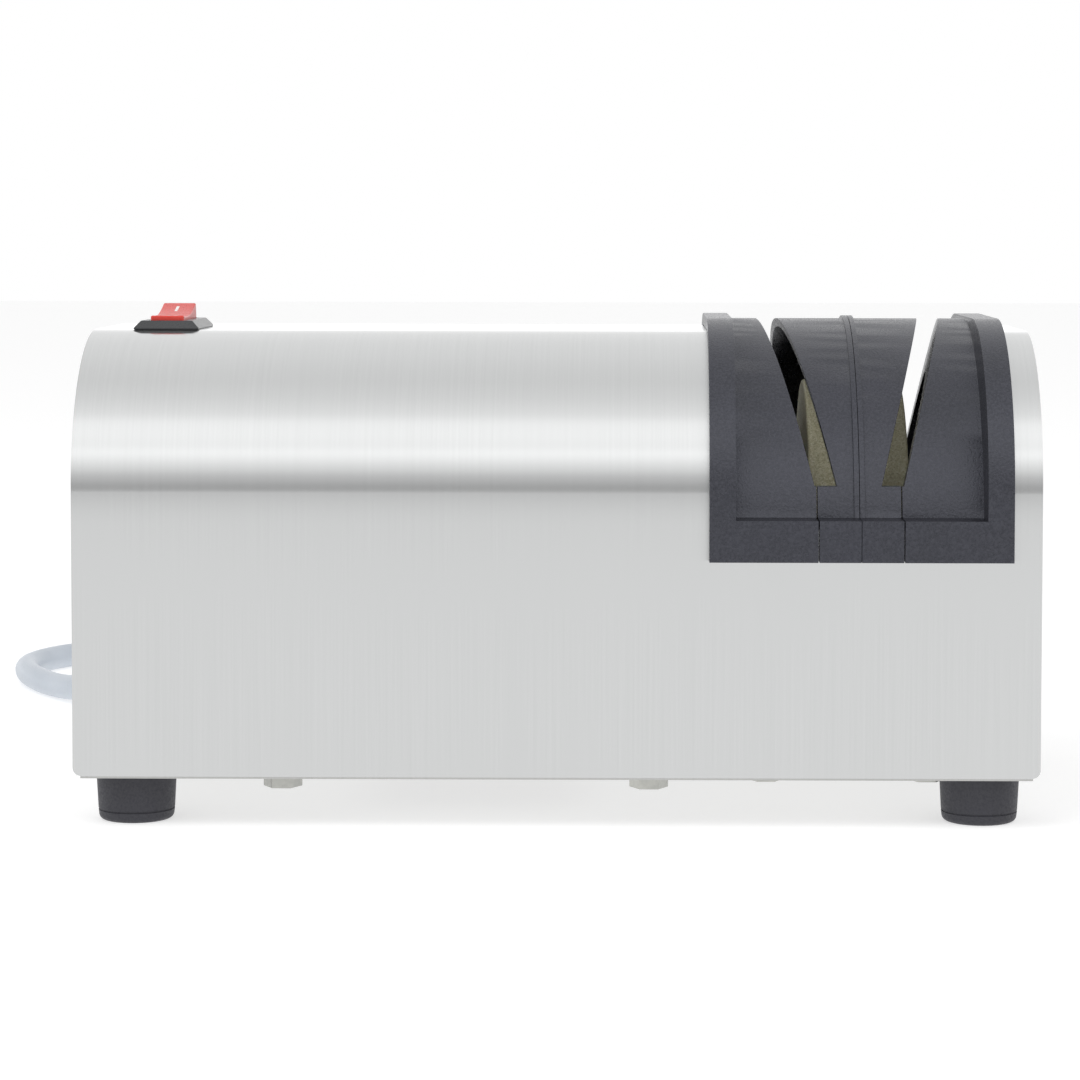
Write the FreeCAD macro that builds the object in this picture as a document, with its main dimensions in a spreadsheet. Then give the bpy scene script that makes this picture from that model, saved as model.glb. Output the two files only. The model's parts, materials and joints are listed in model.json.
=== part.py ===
# Electric knife sharpener: bent steel case, motor with two abrasive wheels, moulded guide
# saddle with two slanted slots, rocker switch, mains cord. Millimetres, X right, Y back, Z up.
import FreeCAD, Part
import math
import os
import Sketcher

Vector = FreeCAD.Vector

SIZES = {
    "housing_length": 280.0, "housing_half_width": 72.5, "housing_top": 143.0, "housing_bottom": 15.0,
    "shoulder_radius": 45.5, "sheet": 1.2, "gap": 0.2, "switch_hole_x": 6.5, "switch_hole_y": 16.2,
    "saddle_lap": 5.3, "saddle_hole_drop": 2.8, "cord_hole": 7.0,
    "tray_bottom": 14.2, "tray_sheet": 1.5, "tray_half_width": 71.0, "tray_flange_top": 19.5,
    "tray_half_length": 138.0, "flange_half_length": 128.0, "rim_depth": 8.0,
    "foot_radius": 11.75, "foot_toe_radius": 11.0, "foot_at_x": 124.0, "foot_at_y": 55.5,
    "axle_height": 80.0, "shaft_radius": 6.0, "tip_radius": 5.0, "shoulder_step": 8.0,
    "wheel_radius": 47.0, "wheel_width": 12.4, "wheel_gap": 5.0, "wheel_middle": 89.0,
    "flange_radius": 20.0, "flange_width": 3.5,
    "motor_radius": 46.0, "stack_left": -50.0, "stack_right": 8.0, "bell_left": -86.0,
    "bell_right": 36.0, "bell_wall": 3.0, "rotor_radius": 25.4, "stator_bore": 26.0,
    "race_radius": 14.0, "race_gap": 0.05, "tie_circle": 39.5, "tie_radius": 1.9,
    "saddle_middle": 87.75, "saddle_half_length": 43.75, "saddle_bottom": 78.0, "ledge_height": 90.0,
    "saddle_proud": 3.8, "rib_width": 7.6, "field_radius": 66.0, "moulding": 2.6,
    "seam_offset": 12.3, "seam_gap": 0.3, "slot_floor": 99.0, "slot_inner": 11.25, "slot_outer": 17.7,
    "slot_lean": 12.4, "slot_toe": 4.3, "wheel_room": 49.5, "bead_radius": 1.6,
    "motor_bolt_left": -80.6, "motor_bolt_right": 26.8, "motor_bolt_y": 58.0,
    "frame_bolt_left": 61.4, "frame_bolt_right": 109.0, "frame_bolt_y": 48.0, "plate": 3.0,
    "switch_x": -118.4, "switch_y": -12.7, "rocker_half_width": 5.0, "rocker_arm": 13.9,
    "rocker_tilt": 13.2, "pivot_height": 142.0, "rocker_rise": 5.2, "bezel_rise": 2.7,
    "cord_radius": 4.5, "cord_exit_x": -122.0, "cord_exit_height": 30.0, "relief_length": 23.0,
    "coil_x": -25.0, "coil_y": 204.0, "coil_radius": 61.6, "coil_pitch": 9.7, "coil_turns": 4.0,
    "coil_floor": 5.6,
}

doc = FreeCAD.newDocument("knife_sharpener")
sheet = doc.addObject("Spreadsheet::Sheet", "Dim")
for row, (alias, size) in enumerate(SIZES.items(), start=1):
    sheet.set("A%d" % row, alias)
    sheet.set("B%d" % row, str(size))
    sheet.setAlias("B%d" % row, alias)
doc.recompute()


class Size:
    """A length that knows its value and the sheet expression that drives it."""

    def __init__(self, value, text):
        self.value = value
        self.text = text

    def join(self, other, sign, value):
        return Size(value, "(%s %s %s)" % (self.text, sign, size(other).text))

    def __add__(self, other):
        return self.join(other, "+", self.value + size(other).value)

    def __sub__(self, other):
        return self.join(other, "-", self.value - size(other).value)

    def __mul__(self, other):
        return self.join(other, "*", self.value * size(other).value)

    def __rmul__(self, other):
        return size(other) * self

    def __radd__(self, other):
        return size(other) + self

    def __rsub__(self, other):
        return size(other) - self

    def __neg__(self):
        return size(0.0) - self


def size(number):
    if isinstance(number, Size):
        return number
    return Size(float(number), "%.6f" % number)


class Sheet:
    """Dim.name gives the driving dimension called name."""

    def __getattr__(self, name):
        return Size(SIZES[name], "Dim." + name)


D = Sheet()
LEFT_END = D.housing_length * -0.5
RIGHT_END = D.housing_length * 0.5
nodes = []


def bind(item, **properties):
    """Drive properties of an object from the sheet."""
    for name, amount in properties.items():
        amount = size(amount)
        setattr(item, name, amount.value)
        item.setExpression(name, amount.text)


def place(item, x, y, z, rotation=None):
    """Put an object at x, y, z, each driven from the sheet."""
    x, y, z = size(x), size(y), size(z)
    turn = rotation or FreeCAD.Rotation()
    item.Placement = FreeCAD.Placement(Vector(x.value, y.value, z.value), turn)
    for letter, amount in (("x", x), ("y", y), ("z", z)):
        item.setExpression("Placement.Base." + letter, amount.text)
    return item


def box(x0, x1, y0, y1, z0, z1):
    item = doc.addObject("Part::Box", "Block")
    bind(item, Length=size(x1) - x0, Width=size(y1) - y0, Height=size(z1) - z0)
    return place(item, x0, y0, z0)


TURNS = {
    "x": FreeCAD.Rotation(Vector(0, 1, 0), 90),
    "y": FreeCAD.Rotation(Vector(1, 0, 0), -90),
    "z": FreeCAD.Rotation(),
}


def rod(axis, x, y, z, radius, length):
    """A cylinder that starts at x, y, z and runs along axis."""
    item = doc.addObject("Part::Cylinder", "Rod")
    bind(item, Radius=radius, Height=length)
    return place(item, x, y, z, TURNS[axis])


def taper(axis, x, y, z, radius, end_radius, length):
    item = doc.addObject("Part::Cone", "Taper")
    bind(item, Radius1=radius, Radius2=end_radius, Height=length)
    return place(item, x, y, z, TURNS[axis])


def hexagon(axis, x, y, z, across_flats, length):
    item = doc.addObject("Part::Prism", "Hexagon")
    item.Polygon = 6
    bind(item, Circumradius=size(across_flats) * (0.5 / math.cos(math.pi / 6)), Height=length)
    return place(item, x, y, z, TURNS[axis])


def fuse(*items):
    joined = doc.addObject("Part::MultiFuse", "Joined")
    joined.Shapes = list(items)
    joined.Refine = True
    return joined


def cut(base, *tools):
    result = doc.addObject("Part::Cut", "Cut")
    result.Base = base
    result.Tool = tools[0] if len(tools) == 1 else group(*tools)
    return result


def common(first, second):
    result = doc.addObject("Part::Common", "Common")
    result.Base = first
    result.Tool = second
    return result


def group(*items):
    """Separate solids held together under one name, or a set of cutting tools."""
    held = doc.addObject("Part::Compound", "Group")
    held.Links = list(items)
    return held


def node(label, item):
    item.Label = label
    nodes.append(item)
    return item


def sketch_on(body, role, points):
    """A closed outline through points, each held by driven distances from the origin."""
    sketch = body.newObject("Sketcher::SketchObject", "Outline")
    plane = [f for f in body.Origin.OriginFeatures if f.Role == role][0]
    sketch.AttachmentSupport = [(plane, "")]
    sketch.MapMode = "FlatFace"
    points = [(size(a), size(b)) for a, b in points]
    count = len(points)
    for i, (a, b) in enumerate(points):
        c, d = points[(i + 1) % count]
        sketch.addGeometry(Part.LineSegment(Vector(a.value, b.value, 0), Vector(c.value, d.value, 0)), False)
    for i in range(count):
        sketch.addConstraint(Sketcher.Constraint("Coincident", i, 2, (i + 1) % count, 1))
    for i, (a, b) in enumerate(points):
        for kind, amount in (("DistanceX", a), ("DistanceY", b)):
            index = sketch.addConstraint(Sketcher.Constraint(kind, -1, 1, i, 1, amount.value))
            sketch.setExpression("Constraints[%d]" % index, amount.text)
    return sketch


def revolve(points, axis="x", at=(0, 0, 0)):
    """A turned piece: points are (along, radius) from the axis start at a place."""
    body = doc.addObject("PartDesign::Body", "Turned")
    if axis == "z":
        points = [(radius, along) for along, radius in points]
    sketch = sketch_on(body, "XZ_Plane", points)
    turned = body.newObject("PartDesign::Revolution", "Revolution")
    turned.Profile = sketch
    turned.ReferenceAxis = (sketch, ["H_Axis" if axis == "x" else "V_Axis"])
    turned.Angle = 360
    return place(body, *at)


def tunnel(half_width, low, high, radius, x0, x1):
    """A straight-sided tunnel section with two rounded shoulders, padded along X."""
    body = doc.addObject("PartDesign::Body", "Tunnel")
    outline = [(-half_width, low), (half_width, low), (half_width, high), (-half_width, high)]
    sketch = sketch_on(body, "YZ_Plane", outline)
    pad = body.newObject("PartDesign::Pad", "Pad")
    pad.Profile = sketch
    bind(pad, Length=size(x1) - x0)
    doc.recompute()
    crests = []
    for number, edge in enumerate(pad.Shape.Edges, start=1):
        box_of = edge.BoundBox
        if box_of.ZLength < 0.01 and box_of.YLength < 0.01 and box_of.ZMin > size(high).value - 0.01:
            crests.append("Edge%d" % number)
    rounded = body.newObject("PartDesign::Fillet", "Shoulders")
    rounded.Base = (pad, crests)
    bind(rounded, Radius=radius)
    return place(body, x0, 0, 0)


def prism_x(points, x0, x1):
    """An outline in Y and Z padded along X."""
    body = doc.addObject("PartDesign::Body", "Profile")
    sketch = sketch_on(body, "YZ_Plane", points)
    pad = body.newObject("PartDesign::Pad", "Pad")
    pad.Profile = sketch
    bind(pad, Length=size(x1) - x0)
    return place(body, x0, 0, 0)


def prism_y(points, y0, y1):
    """An outline in X and Z padded along Y."""
    body = doc.addObject("PartDesign::Body", "Profile")
    sketch = sketch_on(body, "XZ_Plane", points)
    pad = body.newObject("PartDesign::Pad", "Pad")
    pad.Profile = sketch
    pad.Reversed = True
    bind(pad, Length=size(y1) - y0)
    return place(body, 0, y0, 0)


def screw(axis, x, y, z, head_radius, head_height, shank_radius, shank_length, sign=1):
    """A pan head screw; its head starts at the seat and stands away from the shank."""
    if sign > 0:
        shank = (x, y, z)
    else:
        shank = (x, size(y) - shank_length, z) if axis == "y" else (x, y, size(z) - shank_length)
    head = {"y": (x, size(y) - head_height, z), "z": (x, y, size(z) - head_height)}[axis]
    if sign < 0:
        head = (x, y, z)
    return fuse(rod(axis, *head, head_radius, head_height), rod(axis, *shank, shank_radius, shank_length))


# Case: shell, ends and tray

def case_pieces():
    t = D.sheet
    outer = tunnel(D.housing_half_width, D.housing_bottom, D.housing_top, D.shoulder_radius,
                   LEFT_END, RIGHT_END)
    inner = tunnel(D.housing_half_width - t, D.housing_bottom - 5, D.housing_top - t,
                   D.shoulder_radius - t, LEFT_END - 1, RIGHT_END + 1)
    saddle_reach = D.saddle_half_length - D.saddle_lap
    saddle_hole = box(D.saddle_middle - saddle_reach, D.saddle_middle + saddle_reach, -80, 80,
                      D.ledge_height - D.saddle_hole_drop, 150)
    switch_hole = box(D.switch_x - D.switch_hole_x, D.switch_x + D.switch_hole_x,
                      D.switch_y - D.switch_hole_y, D.switch_y + D.switch_hole_y, 130, 150)
    cord_hole = rod("y", D.cord_exit_x, 60, D.cord_exit_height, D.cord_hole, 20)
    screw_holes = [rod("y", x, side, D.saddle_bottom + 5, 1.7, 12)
                   for x in saddle_screw_places() for side in (-78, 66)]
    end_holes = [rod("y", x, 66, z, 1.7, 12) for x in (-134.6, 134.6) for z in (32, 92)]
    node("housing_shell", cut(outer, inner, saddle_hole, switch_hole, cord_hole, *screw_holes, *end_holes))

    inside = D.housing_half_width - t - D.gap
    for label, side in (("left_end_plate", -1), ("right_end_plate", 1)):
        plate_in = D.tray_half_length * side - side * 1.0
        rim_in = D.tray_half_length * side - side * (D.rim_depth + 1.0)
        edges = sorted((D.tray_half_length * side, plate_in), key=lambda s: s.value)
        rims = sorted((D.tray_half_length * side, rim_in), key=lambda s: s.value)
        low = D.tray_bottom + D.tray_sheet + D.gap
        high = D.housing_top - t - D.gap
        corner = D.shoulder_radius - t - D.gap
        flange = cut(tunnel(inside, low, high, corner, *rims),
                     tunnel(inside - 1, low + 1, high - 1, corner - 1, rims[0] - 1, rims[1] + 1))
        web = tunnel(inside, low, high, corner, *edges)
        louvres = [box(edges[0] - 1, edges[1] + 1, -26, 26, z, z + 3.4) for z in range(48, 104, 9)]
        holes = [rod("y", 134.6 * side, 66, z, 1.6, 10) for z in (32, 92)]
        lip_holes = [rod("z", 133 * side, y, 12, 1.6, 8) for y in (-20, 20)]
        node(label, cut(fuse(flange, web), *louvres, *holes, *lip_holes))

    top = D.tray_bottom + D.tray_sheet
    plate = box(-D.tray_half_length, D.tray_half_length, -D.tray_half_width, D.tray_half_width,
                D.tray_bottom, top)
    walls = []
    for y0 in (-D.tray_half_width, D.tray_half_width - t):
        walls.append(box(-D.flange_half_length, D.flange_half_length, y0, y0 + t, D.tray_bottom,
                         D.tray_flange_top))
    holes = [rod("z", x, y, 10, 2.3, 10) for x, y in foot_places()]
    holes += [rod("z", x, y, 10, 3.2, 10) for x, y in motor_bolt_places() + frame_bolt_places()]
    holes += [rod("z", x, y, 10, 1.7, 10) for x in (-133, 133) for y in (-20, 20)]
    holes += [box(x, x + 3.4, -40, 40, 10, 20) for x in range(-56, 10, 11)]
    node("base_plate", cut(fuse(plate, *walls), *holes))

    below = [screw("z", x, y, D.tray_bottom, 2.9, 1.9, 1.5, 6) for x in (-133, 133) for y in (-20, 20)]
    behind = [screw("y", x, D.housing_half_width, z, 2.9, 1.8, 1.5, 6, -1)
              for x in (-134.6, 134.6) for z in (32, 92)]
    node("case_screws", group(*below, *behind))


def foot_places():
    return [(D.foot_at_x * i, D.foot_at_y * j) for i in (-1, 1) for j in (-1, 1)]


def motor_bolt_places():
    return [(x, D.motor_bolt_y * j) for x in (D.motor_bolt_left, D.motor_bolt_right) for j in (-1, 1)]


def frame_bolt_places():
    return [(x, D.frame_bolt_y * j) for x in (D.frame_bolt_left, D.frame_bolt_right) for j in (-1, 1)]


def saddle_screw_places():
    return [D.saddle_middle + offset for offset in (-32, -6, 6, 32)]


def feet():
    names = ("foot_front_left", "foot_rear_left", "foot_front_right", "foot_rear_right")
    toe, heel = D.foot_toe_radius, D.foot_radius
    profile = [(0, 5.6), (0, toe - 1.6), (0.5, toe - 0.6), (1.6, toe), (3.0, toe + 0.15), (3.1, toe - 0.15),
               (3.5, toe - 0.15), (3.6, toe + 0.2), (D.tray_bottom, heel), (D.tray_bottom, 2.3),
               (6, 2.3), (6, 5.6)]
    for name, (x, y) in zip(names, foot_places()):
        node(name, revolve(profile, "z", (x, y, 0)))
    top = D.tray_bottom + D.tray_sheet
    node("foot_screws", group(*[screw("z", x, y, 5, 4.2, 2.4, 2.1, 15.6) for x, y in foot_places()]))
    node("foot_washers", group(*[cut(rod("z", x, y, 5, 5.3, 1), rod("z", x, y, 4, 2.3, 3))
                                 for x, y in foot_places()]))
    node("foot_nuts", group(*[cut(hexagon("z", x, y, top, 7, 3.2), rod("z", x, y, top - 1, 2.15, 6))
                              for x, y in foot_places()]))


def hex_bolts(label, places, across, head):
    """Hex head bolts put in from under the tray, with nuts on the bracket above."""
    low = D.tray_bottom
    bolts = [fuse(hexagon("z", x, y, low - head, across, head), rod("z", x, y, low, 3, 12.3))
             for x, y in places]
    node(label, group(*bolts))


def bracket_nuts():
    top = D.tray_bottom + D.tray_sheet + D.plate
    places = motor_bolt_places() + frame_bolt_places()
    node("bracket_nuts", group(*[cut(hexagon("z", x, y, top, 10, 5), rod("z", x, y, top - 1, 3.05, 8))
                                 for x, y in places]))


# Saddle: four mouldings over the wheels

def saddle_cover(x0, x1, ribs):
    """One moulding before its slanted edge is cut: band, ledge, field wall and any outer rib."""
    proud, gap, wall = D.saddle_proud, D.gap, D.moulding
    hw, top, corner = D.housing_half_width, D.housing_top, D.shoulder_radius
    ledge, low, field = D.ledge_height, D.saddle_bottom, D.field_radius
    whole = tunnel(hw + proud, low, top + proud, corner + proud, x0, x1)
    under = tunnel(hw + gap, low - 5, top + gap, corner + gap, x0 - 1, x1 + 1)
    skin = cut(whole, under)
    band = common(skin, box(x0, x1, -90, 90, low, ledge))
    start, finish = x0, x1
    for rib_start in ribs:
        if rib_start.value < D.saddle_middle.value:
            start = rib_start + D.rib_width - 2
        else:
            finish = rib_start + 2
    ledges = cut(box(start, finish, -hw - proud, hw + proud, ledge - wall, ledge),
                 box(start - 1, finish + 1, -(field - wall - 3), field - wall - 3, ledge - 9, ledge + 1))
    arch = common(cut(rod("x", start, 0, D.axle_height, field, finish - start),
                      rod("x", start - 1, 0, D.axle_height, field - wall, finish - start + 2)),
                  box(start, finish, -90, 90, ledge - wall, 160))
    pieces = [band, ledges, arch]
    for rib_start in ribs:
        rib_end = rib_start + D.rib_width
        pieces.append(common(skin, box(rib_start, rib_end, -90, 90, low, 160)))
        inner = rib_end if rib_start.value < D.saddle_middle.value else rib_start + 2
        start = inner - 2
        side = common(cut(tunnel(hw - D.sheet - 1, ledge - wall, top + proud - 1, corner - 2, start, inner),
                          rod("x", start - 1, 0, D.axle_height, field - wall, 5)),
                      box(start, inner, -90, 90, ledge - wall, 160))
        bridge = common(tunnel(hw + proud, low, top + proud, corner + proud, start, inner),
                        cut(box(start, inner, -90, 90, ledge, 160),
                            tunnel(hw - D.sheet - 1.2, low, top - 2, corner - 2, start - 1, inner + 1)))
        pieces += [side, bridge]
    return fuse(*pieces)


def slanted(side, inner, outer, low):
    """A wedge between two slot walls, by their distance from the middle at the slot floor.

    Its walls lean outwards from the middle as they rise, and its front end is toed in, so that the
    two slots part towards the back.
    """
    high, reach = 70, 95
    slope = side * math.tan(math.radians(SIZES["slot_lean"]))
    near, far = D.saddle_middle + inner * side, D.saddle_middle + outer * side
    drop = (D.slot_floor - low) * slope
    wedge = group(prism_y([(near - drop, low), (near + high * slope, D.slot_floor + high),
                           (far + high * slope, D.slot_floor + high), (far - drop, low)], -reach, reach))
    toe = math.radians(SIZES["slot_toe"])
    return place(wedge, D.saddle_middle * (1 - math.cos(toe)), D.saddle_middle * (side * math.sin(toe)), 0,
                 FreeCAD.Rotation(Vector(0, 0, 1), -side * SIZES["slot_toe"]))


def outwards(side, inner, outer, *sizes):
    """A block between two distances from the middle of the saddle, on one side of it."""
    ends = sorted((D.saddle_middle + inner * side, D.saddle_middle + outer * side), key=lambda s: s.value)
    return box(*ends, *sizes)


def saddle():
    middle, reach, floor = D.saddle_middle, D.saddle_half_length, D.slot_floor
    across, wall = 95, 3
    room = rod("x", middle - 30, 0, D.axle_height, D.wheel_room, 60)
    under_field = rod("x", middle - 45, 0, D.axle_height, D.field_radius - 1, 90)
    for label, side in (("left_guide", -1), ("right_guide", 1)):
        ends = sorted((middle + side * reach, middle + side * (D.seam_offset + D.seam_gap * 0.5)),
                      key=lambda s: s.value)
        rib = middle - reach if side < 0 else middle + reach - D.rib_width
        cover = cut(saddle_cover(*ends, [rib]), slanted(side, -10, D.slot_outer, floor))
        slot_wall = common(slanted(side, D.slot_outer, D.slot_outer + wall, floor), under_field)
        ledge = D.ledge_height - D.moulding
        shelf = common(common(slanted(side, D.slot_outer, D.slot_outer + wall, ledge), under_field),
                       outwards(side, D.seam_offset + D.seam_gap, reach, -across, across, ledge, floor + 0.5))
        node(label, cut(fuse(cover, cut(slot_wall, room), cut(shelf, room)), *saddle_pilots(side)))
    for label, side in (("centre_guide_left", -1), ("centre_guide_right", 1)):
        cover = saddle_cover(*sorted((middle + side * 0.06, middle + side * 30), key=lambda s: s.value), [])
        seam = D.seam_offset - D.seam_gap * 0.5
        low_part = outwards(side, 0, seam, -across, across, D.saddle_bottom - 1, floor)
        high_part = cut(slanted(side, -10, D.slot_inner, floor),
                        outwards(side, seam, 40, -across, across, floor - 1, floor + D.seam_gap))
        bead = common(cut(rod("x", middle + (0.06 if side > 0 else -D.bead_radius), 0, D.axle_height,
                              D.field_radius + 0.9, D.bead_radius - 0.06),
                          rod("x", middle - 5, 0, D.axle_height, D.field_radius - 1, 10)),
                      box(middle - 5, middle + 5, -across, across, D.ledge_height, 160))
        shape = common(cover, fuse(low_part, high_part))
        node(label, cut(fuse(shape, bead), *saddle_pilots(side)))
    screws = []
    for x in saddle_screw_places():
        for seat, sign in ((-(D.housing_half_width - D.sheet), 1), (D.housing_half_width - D.sheet, -1)):
            length = D.sheet + 3.2
            head_y = seat if sign > 0 else seat - 2
            shank_y = seat - length if sign > 0 else seat
            screws.append(fuse(rod("y", x, head_y, D.saddle_bottom + 5, 2.8, 2),
                               rod("y", x, shank_y, D.saddle_bottom + 5, 1.5, length)))
    node("guide_screws", group(*screws))


def saddle_pilots(side):
    """Blind holes for the screws, from inside the band."""
    places = [x for x in saddle_screw_places() if (x.value > D.saddle_middle.value) == (side > 0)]
    tools = []
    for x in places:
        tools.append(rod("y", x, -(D.housing_half_width + 3.3), D.saddle_bottom + 5, 1.55, 8))
        tools.append(rod("y", x, D.housing_half_width - 4.7, D.saddle_bottom + 5, 1.55, 8))
    return tools


# Motor, its brackets and the wheel frame

def motor():
    height, radius = D.axle_height, D.motor_radius
    left, right = D.bell_left, D.bell_right
    inside, race = radius - D.bell_wall, D.race_radius
    bolts = [(D.tie_circle * math.cos(a), D.axle_height + D.tie_circle * math.sin(a))
             for a in (math.radians(45 + 90 * i) for i in range(4))]
    tie_holes = [rod("x", left - 5, y, z, D.tie_radius + 0.1, 140) for y, z in bolts]
    vents = [ring_slot(angle) for angle in range(0, 360, 45)]
    node("stator_stack", cut(rod("x", D.stack_left, 0, height, radius, D.stack_right - D.stack_left),
                             rod("x", D.stack_left - 1, 0, height, D.stator_bore, 70), *tie_holes))
    coils = [cut(rod("x", x, 0, height, 36, 14), rod("x", x - 1, 0, height, 28.5, 18))
             for x in (D.stack_left - 14, D.stack_right)]
    node("stator_windings", group(*coils))
    for label, end, mouth, step in (("rear_end_bell", left, D.stack_left, 1),
                                    ("front_end_bell", right, D.stack_right, -1)):
        profile = [(end, 9.5), (end, radius), (mouth, radius), (mouth, inside), (end + 4 * step, inside),
                   (end + 4 * step, race + 4), (end + 10 * step, race + 4), (end + 10 * step, race),
                   (end + 2 * step, race), (end + 2 * step, 9.5)]
        bell = revolve(profile, "x", (0, 0, height))
        node(label, cut(bell, *tie_holes, *vents))
    ties = []
    for y, z in bolts:
        ties.append(fuse(rod("x", left - 3, y, z, 3.4, 3), rod("x", left, y, z, D.tie_radius, 125),
                         hexagon("x", right, y, z, 6.5, 2.6)))
    node("motor_tie_bolts", group(*ties))
    inner = D.shaft_radius + D.race_gap
    node("motor_bearings", group(*[ball_race(x, race, inner) for x in (left + 2, right - 10)]))


def ring_slot(angle):
    """A cooling slot through both end bells, turned about the shaft by angle."""
    slot = doc.addObject("Part::Box", "Vent")
    slot.Length = 400
    slot.Width = 8
    slot.Height = 9
    slot.Placement = FreeCAD.Placement(Vector(-200, -4, 24), FreeCAD.Rotation())
    turn = FreeCAD.Placement(Vector(0, 0, SIZES["axle_height"]),
                             FreeCAD.Rotation(Vector(1, 0, 0), angle))
    slot.Placement = turn.multiply(slot.Placement)
    return slot


def ball_race(x, outside, inside, width=8):
    """A shielded ball bearing, with a step where its shields sit."""
    profile = [(0, inside), (0, inside + 2), (0.5, inside + 2.3), (0.5, size(outside) - 2.3),
               (0, size(outside) - 2), (0, outside), (width, outside), (width, size(outside) - 2),
               (width - 0.5, size(outside) - 2.3), (width - 0.5, inside + 2.3), (width, inside + 2),
               (width, inside)]
    return revolve(profile, "x", (x, 0, D.axle_height))


def brackets():
    low = D.tray_bottom + D.tray_sheet
    for label, bolt, inward in (("motor_bracket_left", D.motor_bolt_left, 1),
                                ("motor_bracket_right", D.motor_bolt_right, -1)):
        flange = box(bolt - 10, bolt + 10, -66, 66, low, low + D.plate)
        face = bolt + 7 if inward > 0 else bolt - 10
        upright = prism_x([(-44, low + 1), (44, low + 1), (44, 60), (38, D.axle_height),
                           (-38, D.axle_height), (-44, 60)], face, face + D.plate)
        web = cut(fuse(flange, upright), rod("x", bolt - 20, 0, D.axle_height, D.motor_radius + 0.1, 40),
                  *[rod("z", bolt, D.motor_bolt_y * j, low - 1, 3.1, 6) for j in (-1, 1)])
        node(label, web)
    x0, x1 = D.frame_bolt_left - 6, D.frame_bolt_right + 9
    base = box(x0, x1, -54, 54, low, low + D.plate)
    uprights = []
    for x in (x0, x1 - D.plate):
        uprights.append(prism_x([(-40, low + 1), (40, low + 1), (20, 64), (20, 92), (14, 100), (-14, 100),
                                 (-20, 92), (-20, 64)], x, x + D.plate))
    cup = rod("x", x1 - D.plate, 0, D.axle_height, 17, 8.6)
    holes = [rod("z", x, y, low - 1, 3.1, 6) for x, y in frame_bolt_places()]
    bore = rod("x", x1 - D.plate - 1, 0, D.axle_height, 13, 12)
    pass_through = rod("x", x0 - 1, 0, D.axle_height, 11, 6)
    node("wheel_frame", cut(fuse(base, *uprights, cup), *holes, bore, pass_through))
    node("outboard_bearing", ball_race(x1 - D.plate, 13, D.tip_radius + D.race_gap))
    hex_bolts("motor_bolts", motor_bolt_places(), 10, 4.2)
    hex_bolts("frame_bolts", frame_bolt_places(), 9.6, 3.6)
    bracket_nuts()


# Rotor: everything that turns with the shaft

def rotor():
    height = D.axle_height
    thick, tip = D.shaft_radius, D.tip_radius
    first = D.wheel_middle - D.wheel_gap * 0.5 - D.wheel_width
    last = D.wheel_middle + D.wheel_gap * 0.5 + D.wheel_width
    seat, end = first - D.flange_width, D.frame_bolt_right + 16.5
    profile = [(-108, 0), (-108, tip - 0.6), (-107.4, tip), (-89, tip), (-89, thick), (62, thick),
               (62, D.shoulder_step), (seat, D.shoulder_step), (seat, tip), (end - 0.6, tip),
               (end, tip - 0.6), (end, 0)]
    node("shaft", revolve(profile, "x", (0, 0, height)))
    rod_left, rod_right = D.stack_left - 7, D.stack_right + 7
    core = [(rod_left, thick), (rod_left, 22), (D.stack_left, 23), (D.stack_left, D.rotor_radius),
            (D.stack_right, D.rotor_radius), (D.stack_right, 23), (rod_right, 22), (rod_right, thick)]
    node("motor_rotor", revolve(core, "x", (0, 0, height)))
    disc = cut(fuse(rod("x", -104, 0, height, 10, 12), rod("x", -94, 0, height, 35, 1.6)),
               rod("x", -110, 0, height, tip, 30))
    blades = []
    for i in range(9):
        blade = doc.addObject("Part::Box", "Blade")
        blade.Length = 9
        blade.Width = 1.6
        blade.Height = 24
        blade.Placement = FreeCAD.Placement(Vector(-102.6, 0, 9.4), FreeCAD.Rotation(Vector(0, 0, 1), 8))
        turn = FreeCAD.Placement(Vector(0, 0, SIZES["axle_height"]),
                                 FreeCAD.Rotation(Vector(1, 0, 0), 40 * i))
        blade.Placement = turn.multiply(blade.Placement)
        blades.append(blade)
    node("cooling_fan", fuse(disc, *blades))
    rim = D.wheel_radius
    for label, x in (("left_wheel", first), ("right_wheel", D.wheel_middle + D.wheel_gap * 0.5)):
        width = D.wheel_width
        wheel = [(0, tip), (0, rim - 0.8), (0.8, rim), (width - 0.8, rim), (width, rim - 0.8), (width, tip)]
        node(label, revolve(wheel, "x", (x, 0, height)))
    spacer = D.wheel_middle - D.wheel_gap * 0.5
    node("wheel_spacer", cut(rod("x", spacer, 0, height, 16, D.wheel_gap),
                             rod("x", spacer - 1, 0, height, tip, 8)))
    flange, width = D.flange_radius, D.flange_width
    left_flange = [(seat, tip), (seat, 12), (seat + 1.2, flange - 2), (first, flange), (first, tip)]
    right_flange = [(last, tip), (last, flange), (last + width - 1.2, flange - 2), (last + width, 12),
                    (last + width, tip)]
    node("wheel_flanges", group(revolve(left_flange, "x", (0, 0, height)),
                                revolve(right_flange, "x", (0, 0, height))))
    node("shaft_nut", cut(hexagon("x", last + width, 0, height, 16, 5.2),
                          rod("x", last, 0, height, tip, 12)))


# Rocker switch

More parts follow.
